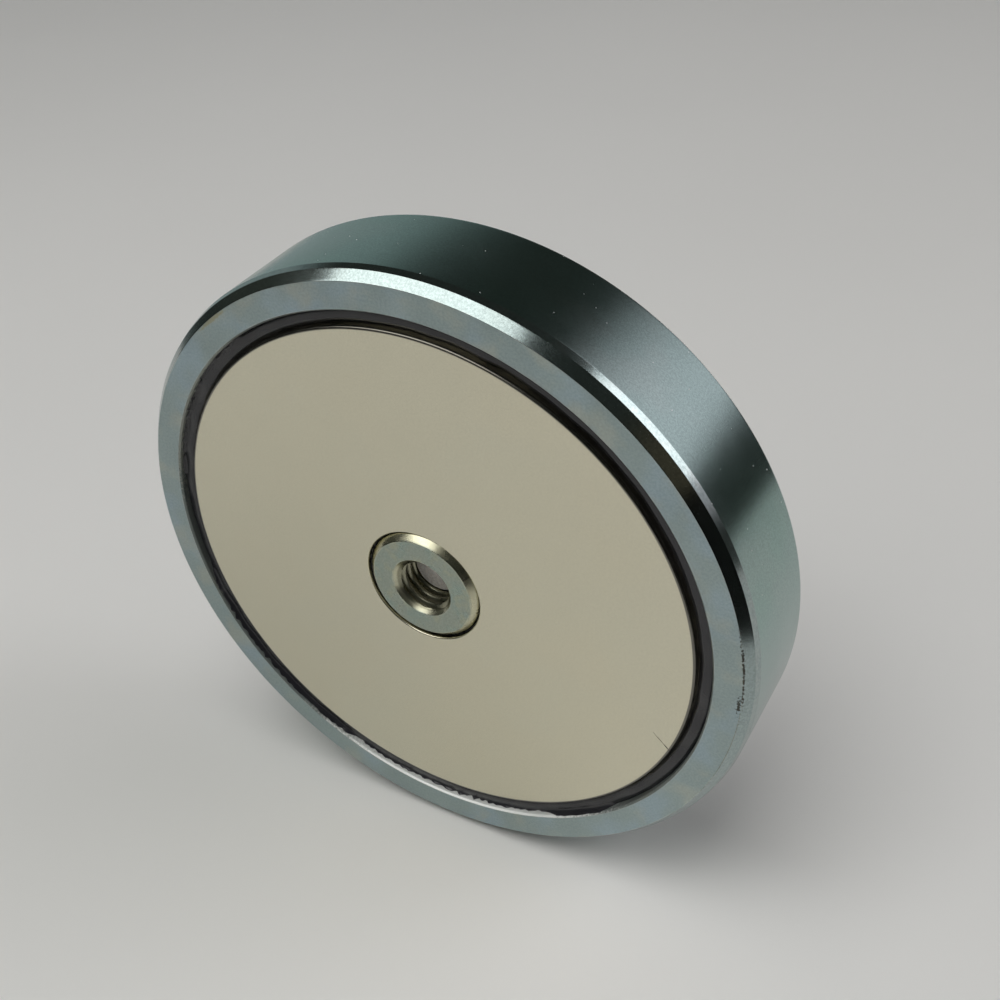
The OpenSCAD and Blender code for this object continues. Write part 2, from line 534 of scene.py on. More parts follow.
@dataclass(frozen=True)
class MetalFinish:
    """A plated or bare metal surface."""

    name: str
    base: Colour
    cool: Colour
    warm: Colour
    mottle_scale: float = 55.0
    mottle: float = 0.6
    roughness: float = 0.28
    unevenness: float = 0.06
    metallic: float = 1.0
    lines: float = 5200.0
    line_depth: float = 0.6e-6
    line_shade: float = 0.03
    grain_scale: float = 2600.0
    grain: float = 0.05
    peel_scale: float = 2400.0
    peel_depth: float = 0.5e-6
    anisotropy: float = 0.0
    # Edge colour on the roundings: rubbed wear, and on the nickel painted shade.
    edge_wear_and_shade: float = 0.3
    edge_wear_and_shade_colour: Colour = (0.62, 0.64, 0.62)
    edge_wear_and_shade_evenness: float = 0.0
    edge_wear_and_shade_scale: float = 420.0
    wander: float = 1.2
    smudge_scale: float = 130.0
    speck_share: float = 0.0
    speck_colour: Colour = (0.88, 0.90, 0.90)
    speck_roughness: float = 0.5
    stains_and_painted_light: tuple[StainAndPaintedLight, ...] = ()

    def build(self, effects: Effects) -> bpy.types.Material:
        """Makes the material.

        Args:
            effects: The shared effect groups.

        Returns:
            The new material.
        """
        material, graph, place = blank_material(self.name)
        colour = graph.effect(effects.mottle, place, Scale=self.mottle_scale, Base=self.base, Cool=self.cool,
                              Warm=self.warm, Amount=self.mottle)
        peel = graph.effect(effects.peel, place, Scale=self.peel_scale)
        # Edge colour on the roundings: rubbed wear on most finishes, painted shade on the nickel.
        edge_wear_and_shade = graph.effect(effects.edge_wear_and_painted_shade, place, Scale=self.edge_wear_and_shade_scale, Evenness=self.edge_wear_and_shade_evenness,
                           Amount=self.edge_wear_and_shade)
        shade = graph.drift(place, self.grain_scale, 2.0, 0.7, 1.0, self.grain)
        normal = None
        if self.line_depth > 0:
            marks = graph.effect(effects.turning, place, Lines=self.lines, Wander=self.wander)
            lined = graph.ramp(marks, 0.25, 0.75, 1 - self.line_shade, 1 + self.line_shade)
            shade = graph.product(shade, lined)
            normal = graph.bump(marks, self.line_depth)
        tone = graph.add("ShaderNodeCombineColor", {0: shade, 1: shade, 2: shade}).outputs[0]
        colour = graph.mix(edge_wear_and_shade, graph.mix(1.0, colour, tone, "MULTIPLY"), self.edge_wear_and_shade_colour)
        roughness = graph.drift(place, self.smudge_scale, 4.0, 0.6, self.roughness, self.unevenness)
        # Real stains, and on the pocket wall a painted band of light.
        for stain_and_painted_light in self.stains_and_painted_light:
            mask = graph.effect(
                effects.stain_and_painted_light, place, Angle=math.radians(stain_and_painted_light.angle_deg),
                Half_Angle=math.radians(stain_and_painted_light.half_deg), Radius=stain_and_painted_light.radius, Half_Radius=stain_and_painted_light.half_radius,
                Breakup=stain_and_painted_light.breakup, Slant=stain_and_painted_light.slant)
            mask = graph.product(mask, stain_and_painted_light.strength)
            colour = graph.mix(mask, colour, stain_and_painted_light.colour)
            roughness = graph.math("ADD", roughness, graph.product(mask, stain_and_painted_light.roughness))
        if self.speck_share > 0:
            specks = graph.effect(effects.specks, place, Scale=SPECK_SCALE, Size=SPECK_SIZE,
                                  Share=self.speck_share)
            colour = graph.mix(specks, colour, self.speck_colour)
            roughness = graph.math("ADD", roughness, graph.product(specks, self.speck_roughness))
        shader = graph.add("ShaderNodeBsdfPrincipled", {
            "Base Color": colour, "Metallic": self.metallic, "Roughness": roughness,
            "Normal": graph.bump(peel, self.peel_depth, normal=normal), "Anisotropic": self.anisotropy,
            "Anisotropic Rotation": 0.25})
        if self.anisotropy:
            tangent = graph.add("ShaderNodeTangent", direction_type="RADIAL", axis="Y").outputs[0]
            graph.feed(shader.inputs["Tangent"], tangent)
        graph.add("ShaderNodeOutputMaterial", {"Surface": shader.outputs[0]})
        return material


@dataclass(frozen=True)
class ResinFinish:
    """Cast resin: black potting or a pale adhesive."""

    name: str
    base: Colour
    streak: Colour
    roughness: float
    dust: float
    gloss: float = 0.5
    unevenness: float = 0.08
    streak_scale: float = 240.0
    streakiness: float = 0.7
    smudge_scale: float = 300.0
    peel_scale: float = 900.0
    peel_depth: float = 0.03 * MM
    dust_colour: Colour = (0.18, 0.18, 0.17)

    def build(self, effects: Effects) -> bpy.types.Material:
        """Makes the material.

        Args:
            effects: The shared effect groups.

        Returns:
            The new material.
        """
        material, graph, place = blank_material(self.name)
        colour = graph.effect(effects.mottle, place, Scale=self.streak_scale, Base=self.base,
                              Cool=self.streak, Warm=self.streak, Amount=self.streakiness)
        dust = graph.effect(effects.specks, place, Scale=SPECK_SCALE, Size=SPECK_SIZE, Share=self.dust)
        colour = graph.mix(dust, colour, self.dust_colour)
        peel = graph.effect(effects.peel, place, Scale=self.peel_scale)
        roughness = graph.drift(place, self.smudge_scale, 3.0, 0.5, self.roughness, self.unevenness)
        shader = graph.add("ShaderNodeBsdfPrincipled", {
            "Base Color": colour, "Roughness": roughness, "Normal": graph.bump(peel, self.peel_depth),
            "Specular IOR Level": self.gloss})
        graph.add("ShaderNodeOutputMaterial", {"Surface": shader.outputs[0]})
        return material


@dataclass(frozen=True)
class TableFinish:
    """Pale matt table top that melts into the backdrop far away."""

    base: Colour = (0.80, 0.795, 0.775)
    cloud: float = 0.985
    cloud_scale: float = 7.0
    roughness: float = 0.6
    gloss: float = 0.3
    grain_scale: float = 900.0
    grain_depth: float = 0.02 * MM
    grain_strength: float = 0.4
    melt_start: float = 0.66
    melt_end: float = 1.7

    def build(self) -> bpy.types.Material:
        """Makes the material.

        Returns:
            The new material.
        """
        material, graph, place = blank_material("table_top")
        share = graph.drift(place, self.cloud_scale, 4.0, 0.5, 0.5, 0.5)
        colour = graph.mix(share, self.base, tuple(self.cloud * part for part in self.base))
        speckle = graph.noise(place, self.grain_scale, 3.0, 0.7)
        grain = graph.bump(speckle, self.grain_depth, self.grain_strength)
        shader = graph.add("ShaderNodeBsdfPrincipled", {"Base Color": colour, "Roughness": self.roughness,
                                                        "Normal": grain, "Specular IOR Level": self.gloss})
        away = graph.add("ShaderNodeVectorMath", {0: place}, operation="LENGTH").outputs["Value"]
        melted = graph.ramp(away, self.melt_start, self.melt_end)
        pale = graph.add("ShaderNodeEmission", {"Color": BACKDROP})
        both = graph.add("ShaderNodeMixShader", {0: melted, 1: shader.outputs[0], 2: pale.outputs[0]})
        graph.add("ShaderNodeOutputMaterial", {"Surface": both.outputs[0]})
        material.cycles.emission_sampling = "NONE"
        return material


WALL_ZINC = MetalFinish(
    "zinc_wall", (0.292, 0.40, 0.38), (0.275, 0.41, 0.37), (0.325, 0.41, 0.39), mottle_scale=42.0,
    mottle=0.55, roughness=0.20, unevenness=0.015, anisotropy=0.35, speck_share=0.12, line_depth=0.5e-6,
    line_shade=0.02, grain=0.12, grain_scale=3600.0, edge_wear_and_shade=0.15)
RIM_ZINC = MetalFinish(
    "zinc_rim", (0.310, 0.378, 0.378), (0.33, 0.42, 0.47), (0.40, 0.43, 0.385), mottle_scale=90.0,
    mottle=0.7, roughness=0.36, edge_wear_and_shade=0.35, peel_scale=3400.0, peel_depth=1.6e-6, grain=0.08,
    line_depth=0.3e-6, line_shade=0.015, stains_and_painted_light=(
        StainAndPaintedLight(128, 5, 53.1 * MM, 0.4 * MM, (0.42, 0.40, 0.26), 0.7),
        StainAndPaintedLight(4, 7.5, 53.36 * MM, 0.14 * MM, (0.06, 0.052, 0.042), 0.95, 5.4),
        StainAndPaintedLight(356.5, 1.7, 52.95 * MM, 0.35 * MM, (0.07, 0.065, 0.05), 0.9, 5.0),
        StainAndPaintedLight(346, 17, 53.38 * MM, 0.09 * MM, (0.25, 0.24, 0.17), 0.7, 2.4)))
EDGE_ZINC = MetalFinish(
    "zinc_cut_edge", (0.325, 0.39, 0.385), (0.30, 0.39, 0.41), (0.35, 0.39, 0.37), mottle=0.12,
    roughness=0.17, unevenness=0.02, edge_wear_and_shade=0.25, edge_wear_and_shade_colour=(0.48, 0.50, 0.48), line_depth=0.25e-6,
    grain=0.14, peel_depth=1.6e-6, stains_and_painted_light=(
        StainAndPaintedLight(4, 7.5, 53.44 * MM, 0.11 * MM, (0.06, 0.052, 0.042), 0.95, 5.4),))
BACK_ZINC = MetalFinish(
    "zinc_back", (0.375, 0.45, 0.46), (0.35, 0.445, 0.49), (0.42, 0.48, 0.43), mottle=0.2,
    roughness=0.27, unevenness=0.02, anisotropy=0.55, lines=2600.0, line_depth=4.0e-6, line_shade=0.05)
# Painted shade and painted light: the pocket wall's dark base colour paints the gap's shade on it, and the
# pale band at the bottom (273 degrees) paints the window's light where it falls on the wall.
POCKET_ZINC_PAINTED_LIGHT_AND_SHADE = MetalFinish(
    "zinc_pocket_painted_light_and_shade", (0.16, 0.18, 0.17), (0.15, 0.18, 0.18), (0.20, 0.20, 0.16), roughness=0.42,
    metallic=0.4, lines=3400.0, line_depth=1.0e-6, mottle=0.5, edge_wear_and_shade=0.0, stains_and_painted_light=(
        StainAndPaintedLight(273, 42, 48.9 * MM, 2.0 * MM, (0.86, 0.88, 0.86), 1.0, 0.9, 0.0, 0.08),
        StainAndPaintedLight(150, 26, 48.9 * MM, 1.0 * MM, (0.40, 0.42, 0.38), 0.8, 2.0)))
BUSH_ZINC = MetalFinish(
    "zinc_bush", (0.325, 0.365, 0.315), (0.285, 0.365, 0.33), (0.385, 0.40, 0.30), mottle_scale=260.0,
    mottle=0.6, roughness=0.24, unevenness=0.07, lines=6500.0, line_depth=0.5e-6, edge_wear_and_shade=0.5,
    edge_wear_and_shade_colour=(0.66, 0.65, 0.48), grain=0.10, peel_depth=2.6e-6, stains_and_painted_light=(
        StainAndPaintedLight(90, ALL_ROUND, 9.7 * MM, 0.78 * MM, (0.60, 0.575, 0.41), 0.85, 0.4, 0.0, 0.03),
        StainAndPaintedLight(90, ALL_ROUND, 5.05 * MM, 0.42 * MM, (0.56, 0.545, 0.40), 0.85, 0.4, 0.0, 0.03),
        # Darker threads inside the bore, below the mouth.
        StainAndPaintedLight(90, ALL_ROUND, 4.45 * MM, 0.6 * MM, (0.27, 0.26, 0.185), 0.9, 0.4, 0.0, 0.0)))
# Painted shade: the nickel's dark, nearly even edge colour darkens the magnet's rounded outer edges all
# round, beside the shaded gap.
NICKEL = MetalFinish(
    "nickel_plate", (0.645, 0.615, 0.485), (0.635, 0.615, 0.495), (0.655, 0.615, 0.48), mottle_scale=40.0,
    mottle=0.4, roughness=0.25, unevenness=0.02, line_depth=0.0, grain=0.035, peel_scale=1900.0,
    peel_depth=2.0e-6, edge_wear_and_shade=0.95, edge_wear_and_shade_colour=(0.13, 0.125, 0.115), edge_wear_and_shade_evenness=0.95, stains_and_painted_light=(
        StainAndPaintedLight(337.55, 0.17, 45.3 * MM, 0.8 * MM, (0.03, 0.027, 0.024), 1.0, 0.9, -10.4),
        StainAndPaintedLight(338.4, 0.14, 43.9 * MM, 1.7 * MM, (0.15, 0.13, 0.11), 0.85, 2.2, -10.4)))
FORGED_STEEL = MetalFinish(
    "forged_steel", (0.52, 0.51, 0.49), (0.47, 0.47, 0.47), (0.56, 0.53, 0.48), mottle_scale=120.0,
    roughness=0.34, unevenness=0.07, line_depth=0.0, peel_scale=1300.0, peel_depth=7e-6, edge_wear_and_shade=0.3)
# Painted light: the shank's sheared end, deep in the bore, is near white and matt so it reads bright.
SHEARED_END_PAINTED_LIGHT = MetalFinish(
    "sheared_tip_painted_light", (0.95, 0.90, 0.85), (0.84, 0.80, 0.76), (0.96, 0.87, 0.79), mottle_scale=900.0,
    roughness=0.5, metallic=0.0, line_depth=0.0, peel_scale=2600.0, peel_depth=2e-5, grain=0.15, edge_wear_and_shade=0.0)
SPRING_STEEL = MetalFinish(
    "spring_steel", (0.45, 0.47, 0.46), (0.40, 0.45, 0.47), (0.50, 0.50, 0.42), mottle_scale=200.0,
    roughness=0.3, lines=4200.0, line_depth=0.8e-6, edge_wear_and_shade=0.5)
BLACK_EPOXY = ResinFinish("black_epoxy", (0.0034, 0.0052, 0.0032), (0.006, 0.009, 0.005), 0.42, 0.03, 0.05)
BOND_RESIN = ResinFinish("bond_resin", (0.42, 0.38, 0.28), (0.36, 0.33, 0.25), 0.4, 0.0)


# ---------------------------------------------------------------------- pieces


def dress(piece: bpy.types.Object, materials: Sequence[bpy.types.Material]) -> None:
    """Gives a piece its materials, in slot order."""
    piece.data.materials.clear()
    for material in materials:
        piece.data.materials.append(material)


class Maker:
    """Makes one piece. Most pieces have a single finish all over."""

    finish: MetalFinish | ResinFinish

    def build(self) -> bpy.types.Object:
        """Shapes the piece."""
        raise NotImplementedError

    def dress(self, piece: bpy.types.Object, effects: Effects) -> None:
        """Gives the piece its finish."""
        dress(piece, [self.finish.build(effects)])


def stand_in(piece: bpy.types.Object, node: str, body: str) -> bpy.types.Object:
    """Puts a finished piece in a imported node's place.

    Args:
        piece: The finished piece.
        node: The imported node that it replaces.
        body: The body that it moves with.

    Returns:
        The same piece.
    """
    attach(piece, body)
    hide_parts(node)
    LOG.info("%s: %d points, %d faces", piece.name, len(piece.data.vertices), len(piece.data.polygons))
    return piece


class CupZone(Enum):
    """The differently finished surfaces of the cup, in material order."""

    WALL = 0
    RIM = 1
    EDGE = 2
    POCKET = 3
    BACK = 4


@dataclass
class Cup(Maker):
    """The turned steel cup that closes the magnet's field."""

    rim_width: float = 4.35 * MM
    edge_deep: float = 1.5 * MM
    lead_in: float = 0.35 * MM
    lead_deep: float = 1.1 * MM
    back_edge: float = 1.3 * MM
    inner_edge: float = 0.3 * MM
    spigot_hole: float = 8.0 * MM
    segments: int = 288

    def build(self) -> bpy.types.Object:
        """Turns the cup from its outline.

        Returns:
            The cup.
        """
        _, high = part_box("cup")
        wall, back = high.x, high.y
        self.back_start = back - self.back_edge + 0.1 * MM
        pocket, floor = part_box("outer_potting")[1].x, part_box("bond_film")[1].y
        self.lip = pocket + self.inner_edge + self.rim_width
        return turned_piece("steel_cup", [
            Corner(pocket, floor, 0.3 * MM), Corner(pocket, self.inner_edge, 0.08 * MM),
            Corner(pocket + self.inner_edge, 0, 0.08 * MM), Corner(self.lip, 0, 0.1 * MM),
            Corner(wall - self.lead_in, self.edge_deep, 0.12 * MM),
            Corner(wall, self.edge_deep + self.lead_deep, 0.25 * MM),
            Corner(wall, back - self.back_edge, 0.2 * MM), Corner(wall - self.back_edge, back, 0.2 * MM),
            Corner(self.spigot_hole, back, 0.3 * MM), Corner(self.spigot_hole, floor)], self.segments)

    def zone(self, radius: float, depth: float) -> CupZone:
        """The surface that a face of the cup belongs to.

        Args:
            radius: The face's distance from the axis.
            depth: The face's depth behind the pull face.

        Returns:
            Its zone.
        """
        edge_end = self.edge_deep + self.lead_deep
        if depth > self.back_start:
            return CupZone.BACK
        if radius > self.lip and depth < edge_end:
            return CupZone.EDGE
        if radius > self.lip:
            return CupZone.WALL
        if depth < 0.1 * MM:
            return CupZone.RIM
        return CupZone.POCKET

    def dress(self, piece: bpy.types.Object, effects: Effects) -> None:
        """Gives each surface of the cup its finish."""
        finishes = {CupZone.WALL: WALL_ZINC, CupZone.RIM: RIM_ZINC, CupZone.EDGE: EDGE_ZINC,
                    CupZone.POCKET: POCKET_ZINC_PAINTED_LIGHT_AND_SHADE, CupZone.BACK: BACK_ZINC}
        dress(piece, [finishes[zone].build(effects) for zone in CupZone])
        for face in piece.data.polygons:
            centre = face.center
            face.material_index = self.zone(math.hypot(centre.x, centre.z), centre.y).value


@dataclass
class RingMagnet(Maker):
    """The nickel-plated neodymium ring."""

    finish: MetalFinish = NICKEL
    edge: float = 0.38 * MM
    bore_edge: float = 0.3 * MM
    segments: int = 256

    def build(self) -> bpy.types.Object:
        """Turns the ring with the soft edges that tumbling leaves.

        Returns:
            The ring.
        """
        low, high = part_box("ring_magnet")
        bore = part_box("bore_potting")[1].x
        corners = [Corner(bore, low.y, self.bore_edge, 0.0), Corner(high.x, low.y, self.edge),
                   Corner(high.x, high.y, self.edge), Corner(bore, high.y, self.bore_edge, 0.0)]
        return turned_piece("neodymium_ring", corners, self.segments, steps=8)


@dataclass(frozen=True)
class Smear:
    """A stretch of the potting's edge that has crept up the cup's wall."""

    start_deg: float
    end_deg: float
    reach: float
    ragged: float
    seed: int


@dataclass
class Potting(Maker):
    """A ring of black epoxy poured into a gap, with its edges sunk along the walls.

    A crevice's width is a fixed part and a share of the gap's width.
    """

    name: str
    node: str
    inner: float
    outer: float
    level: float
    smears: tuple[Smear, ...] = ()
    finish: ResinFinish = BLACK_EPOXY
    segments: int = 720
    ripple: float = 0.05 * MM
    inner_ripple: float = 0.07 * MM
    crown: float = 0.10 * MM
    inner_crevice: float = 0.6 * MM
    outer_crevice: float = 0.25 * MM
    inner_width: tuple[float, float] = (0.10 * MM, 0.13)
    outer_width: tuple[float, float] = (0.08 * MM, 0.07)
    smear_end_deg: float = 3.0
    highest: float = 0.12 * MM

    def wall_reach(self, angles: np.ndarray, resting: float) -> np.ndarray:
        """How far behind the rim the epoxy's outer edge is, at each angle.

        Args:
            angles: Angles in radians.
            resting: The depth where nothing is smeared.

        Returns:
            The depth at each angle.
        """
        depth = resting + self.ripple * ragged(angles, 3, (9, 60))
        degrees = np.degrees(angles) % 360
        soft = self.smear_end_deg
        for smear in self.smears:
            share = smooth_step(degrees, smear.start_deg - soft, smear.start_deg + soft)
            share = share * (1 - smooth_step(degrees, smear.end_deg - soft, smear.end_deg + soft))
            edge = smear.reach + smear.ragged * ragged(angles, smear.seed, (20, 230), 30)
            depth = depth * (1 - share) + edge * share
        return np.maximum(depth, self.highest)

    def build(self) -> bpy.types.Object:
        """Shapes the ring's surface at every angle.

        Returns:
            The potting ring.
        """
        width = self.outer - self.inner
        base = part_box(self.node)[1].y
        angles = np.linspace(0, TAU, self.segments, endpoint=False)
        shares = np.array((
            0.0, 0.02, 0.06, 0.12, 0.2, 0.3, 0.42, 0.56, 0.68, 0.78, 0.86, 0.92, 0.96, 0.985, 1.0))
        level = self.level + self.ripple * ragged(angles, 11, (5, 40))
        inner_edge = level + self.inner_crevice + self.inner_ripple * ragged(angles, 5, (8, 70))
        outer_edge = self.wall_reach(angles, self.level + self.outer_crevice)
        spreads = (self.inner_width, self.outer_width)
        inner_width, outer_width = (fixed + part * width for fixed, part in spreads)
        near_inner = np.exp(-((shares * width / inner_width) ** 2))
        near_outer = np.exp(-(((1 - shares) * width / outer_width) ** 2))
        crown = self.crown * np.sin(np.pi * shares) * min(1.0, width / (2 * MM))
        top = (level[:, None] - crown + (inner_edge - level)[:, None] * near_inner
               + (outer_edge - level)[:, None] * near_outer)
        radii = np.concatenate((self.inner + shares * width, [self.outer, self.inner]))
        depths = np.concatenate((top, np.full((self.segments, 2), base)), 1)
        rows = len(radii)
        points = spun(radii, depths, angles[:, None]).reshape(-1, 3)
        piece = mesh_object(self.name, points, wrapped_quads(self.segments, rows, True, True),
                            np.zeros(rows * self.segments))
        even_shading(piece, crease_deg=60.0)
        return piece

    def dress(self, piece: bpy.types.Object, effects: Effects) -> None:
        """Gives the ring the material of its finish's name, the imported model's where it has one."""
        dress(piece, [bpy.data.materials.get(self.finish.name) or self.finish.build(effects)])


@dataclass
class BondFilm(Maker):
    """The adhesive between the magnet and the cup's floor, squeezed into ridges by a comb."""

    finish: ResinFinish = BOND_RESIN
    ridges: int = 22
    ridge_depth: float = 0.18
    segments: int = 180

    def build(self) -> bpy.types.Object:
        """Shapes the film with its combed ridges.

        Returns:
            The film.
        """
        low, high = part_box("bond_film")
        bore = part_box("bore_potting")[1].x
        shares = np.linspace(0, 1, self.ridges * 6 + 1)
        radii = bore + shares * (high.x - bore)
        angles = np.linspace(0, TAU, self.segments, endpoint=False)[:, None]
        ridge = 0.5 + 0.5 * np.cos(TAU * self.ridges * shares + 0.6 * ragged(angles, 21, (2, 9)))
        thick = high.y - low.y
        front = low.y + self.ridge_depth * thick * (1 - ridge)
        all_radii = np.concatenate((radii, radii[::-1]))
        all_depths = np.concatenate((front, np.full_like(front, high.y)), 1)
        points = spun(all_radii, all_depths, angles).reshape(-1, 3)
        piece = mesh_object("adhesive_film", points, wrapped_quads(self.segments, len(all_radii), True, True))
        even_shading(piece, crease_deg=50.0)
        return piece


@dataclass(frozen=True)
class Thread:
    """A right-hand metric thread about the magnet's axis.

    The bush and the shank share one phase, so the eye's turns stay in mesh.
    """

    pitch: float = 1.5 * MM
    full: float = 5.0 * MM
    crest: float = 4.25 * MM
    play: float = 0.05 * MM
    flat: float = 1 / 16
    flank: float = math.tan(math.radians(30))

    def hole(self, phase: np.ndarray) -> np.ndarray:
        """Radius of the tapped hole at a phase of 0 to 1, with its groove at one half."""
        away = np.abs(phase - 0.5) * self.pitch
        return np.clip(self.full - (away - self.pitch * self.flat) / self.flank, self.crest, self.full)

    def screw(self, phase: np.ndarray) -> np.ndarray:
        """Radius of the screw at a phase of 0 to 1, with its ridge at one half."""
        away = np.abs(phase - 0.5) * self.pitch
        top = self.full - self.play
        root = self.crest - 4 * self.play
        return np.clip(top - (away - self.pitch * self.flat + self.play / 4) / self.flank, root, top)

    def rows(self, start: float, end: float, columns: int,
             per_turn: int = 16) -> tuple[np.ndarray, np.ndarray, np.ndarray]:
        """A grid that follows the thread from one depth to another.

        Args:
            start: The first depth.
            end: The last depth.
            columns: How many steps go round. The last column closes on the first.
            per_turn: How many rows each pitch has.

        Returns:
            The angle of each column, and the depth and the phase of each point.
        """
        turns = math.ceil((end - start) / self.pitch) + 2
        angles = np.linspace(0, TAU, columns + 1)[:, None]
        steps = np.arange(turns * per_turn + 1) / per_turn
        first = math.floor(start / self.pitch) * self.pitch
        depths = np.clip(first + (steps - angles / TAU) * self.pitch, start, end)
        phase = np.mod(depths / self.pitch + angles / TAU, 1.0)
        return angles, depths, phase


@dataclass
class ThreadedBush(Maker):
    """The zinc-plated bush that centres the magnet and takes the eye's shank."""

    finish: MetalFinish = BUSH_ZINC
    edge: float = 1.0 * MM
    rounding: float = 0.12 * MM
    mouth: float = 5.45 * MM
    mouth_deep: float = 1.2 * MM
    spigot: float = 8.0 * MM
    columns: int = 112

    def build(self) -> bpy.types.Object:
        """Turns the outside and cuts the thread through it.

        Returns:
            The bush.
        """
        thread = Thread()
        low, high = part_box("threaded_bush")
        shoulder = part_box("bond_film")[1].y
        outline, marks = rounded_outline([
            Corner(self.mouth, low.y, 0.06 * MM), Corner(high.x - self.edge, low.y, self.rounding),
            Corner(high.x, low.y + self.edge, self.rounding), Corner(high.x, shoulder),
            Corner(self.spigot, shoulder), Corner(self.spigot, high.y, 0.2 * MM),
            Corner(self.mouth, high.y, 0.06 * MM), Corner(thread.crest, high.y - self.mouth_deep, 0.01 * MM),
            Corner(thread.crest, low.y + self.mouth_deep, 0.01 * MM)])
        keep = outline[:, 0] > self.mouth - 0.1 * MM
        outline, marks = outline[keep], marks[keep]
        if outline[0, 1] > outline[-1, 1]:
            outline, marks = outline[::-1], marks[::-1]
        start, end = outline[0, 1], outline[-1, 1]
        angles, depths, phase = thread.rows(start, end, self.columns)
        from_face = np.minimum(depths - low.y, high.y - depths)
        mouth = self.mouth - from_face * (self.mouth - thread.crest) / self.mouth_deep
        bore = np.minimum(np.maximum(thread.hole(phase), mouth), outline[0, 0])
        worn = smooth_step(thread.crest + 0.12 * MM - bore, 0.0, 0.1 * MM)
        radii, places, rubbed = (
            np.concatenate((np.broadcast_to(outside, (len(angles), len(outline))), inside[:, ::-1]), 1)
            for outside, inside in ((outline[:, 0], bore), (outline[:, 1], depths), (marks, worn)))
        points = spun(radii, places, angles).reshape(-1, 3)
        faces = wrapped_quads(len(angles), radii.shape[1], False, True)
        piece = mesh_object("zinc_bush", points, faces, rubbed.reshape(-1), WELD)
        even_shading(piece)
        return piece


@dataclass
class LockWasher(Maker):
    """The split spring washer under the eye's collar."""

    finish: MetalFinish = SPRING_STEEL
    split_deg: float = 8.0
    slant_deg: float = 9.0
    corner: float = 0.18 * MM
    keystone: float = 0.06 * MM
    bore: float = 5.1 * MM
    columns: int = 96
    split_at_deg: float = 90.0

    def build(self) -> bpy.types.Object:
        """Bends a keystone wire into an open ring with slanted ends.

        Returns:
            The washer.
        """
        low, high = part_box("lock_washer")
        section, marks = rounded_outline([
            Corner(self.bore, low.y, self.corner), Corner(high.x, low.y + self.keystone, self.corner),
            Corner(high.x, high.y - self.keystone, self.corner), Corner(self.bore, high.y, self.corner)],
            support=0.2 * MM)
        rows = len(section)
        share = np.linspace(0, 1, self.columns)[:, None]
        gap, slant = math.radians(self.split_deg), math.radians(self.slant_deg)
        tilt = slant * ((section[:, 1] - low.y) / (high.y - low.y) - 0.5)
        angles = math.radians(self.split_at_deg) + gap / 2 + share * (TAU - gap) + tilt
        points = spun(section[:, 0], section[:, 1], angles).reshape(-1, 3)
        faces = wrapped_quads(self.columns, rows, False, True)
        faces.append(list(range(rows))[::-1])
        faces.append([(self.columns - 1) * rows + r for r in range(rows)])
        piece = mesh_object("spring_washer", points, faces, np.tile(marks, self.columns))
        even_shading(piece)
        return piece


def blend_solids(first: np.ndarray, second: np.ndarray, reach: float) -> np.ndarray:
    """Joins two distance fields with a fillet.

    Args:
        first: Distances to the first solid.
        second: Distances to the second solid.
        reach: How far the fillet spreads.

    Returns:
        Distances to the joined solid.
    """
    share = np.clip(0.5 + 0.5 * (second - first) / reach, 0, 1)
    return second * (1 - share) + first * share - reach * share * (1 - share)


def skin_of(field: Callable[[np.ndarray], np.ndarray], low: np.ndarray, high: np.ndarray,
            step: float) -> tuple[np.ndarray, list[list[int]]]:
    """Covers a solid, given by a distance field, with a closed skin of quads.

    Args:
        field: Takes points and gives their distance, negative inside.
        low: The lowest corner of a box round the solid.
        high: The highest corner of that box.
        step: The size of a quad.

    Returns:
        The skin's points and faces.
    """
    axes = [np.arange(low[i] - 2 * step, high[i] + 3 * step, step) for i in range(3)]
    inside = field(np.stack(np.meshgrid(*axes, indexing="ij"), -1)) < 0
    corners = np.zeros(tuple(n - 1 for n in inside.shape), int)
    for offset in np.ndindex(2, 2, 2):
        corners += inside[tuple(slice(o, n - 1 + o) for o, n in zip(offset, inside.shape))]
    cells = np.argwhere((corners > 0) & (corners < 8))
    number = np.full(corners.shape, -1)
    number[tuple(cells.T)] = np.arange(len(cells))
    points = np.stack([axes[i][cells[:, i]] + step / 2 for i in range(3)], -1)
    faces = []
    for axis in range(3):
        side, other = (axis + 1) % 3, (axis + 2) % 3
        lower = np.take(inside, range(inside.shape[axis] - 1), axis)
        upper = np.take(inside, range(1, inside.shape[axis]), axis)
        for place in np.argwhere(lower != upper):
            around = []
            for a, b in ((-1, -1), (0, -1), (0, 0), (-1, 0)):
                cell = place.copy()
                cell[side] += a
                cell[other] += b
                around.append(int(number[tuple(cell)]))
            faces.append(around if lower[tuple(place)] else around[::-1])
    return points, faces


def settle(points: np.ndarray, faces: Sequence[Sequence[int]], field: Callable[[np.ndarray], np.ndarray],
           rounds: int) -> np.ndarray:
    """Evens a skin out and draws it onto the surface it covers.

    Args:
        points: The skin's points.
        faces: The skin's quads.
        field: The distance field of the solid.
        rounds: How often the points are evened out and drawn on.

    Returns:
        The points, on the surface.
    """
    quads = np.array(faces)
    links = np.concatenate([quads[:, (i, (i + 1) % 4)] for i in range(4)])
    count = np.bincount(links[:, 0], minlength=len(points))[:, None]
    probe = 0.02 * MM
    for turn in range(rounds + 3):
        if turn < rounds:
            near = np.zeros_like(points)
            np.add.at(near, links[:, 0], points[links[:, 1]])
            points = 0.5 * points + 0.5 * near / count
        rises = [field(points + step) - field(points - step) for step in np.eye(3) * probe]
        slope = np.stack(rises, -1) / (2 * probe)
        size = np.maximum((slope ** 2).sum(-1, keepdims=True), 0.05)
        points = points - slope * field(points)[:, None] / size
    return points


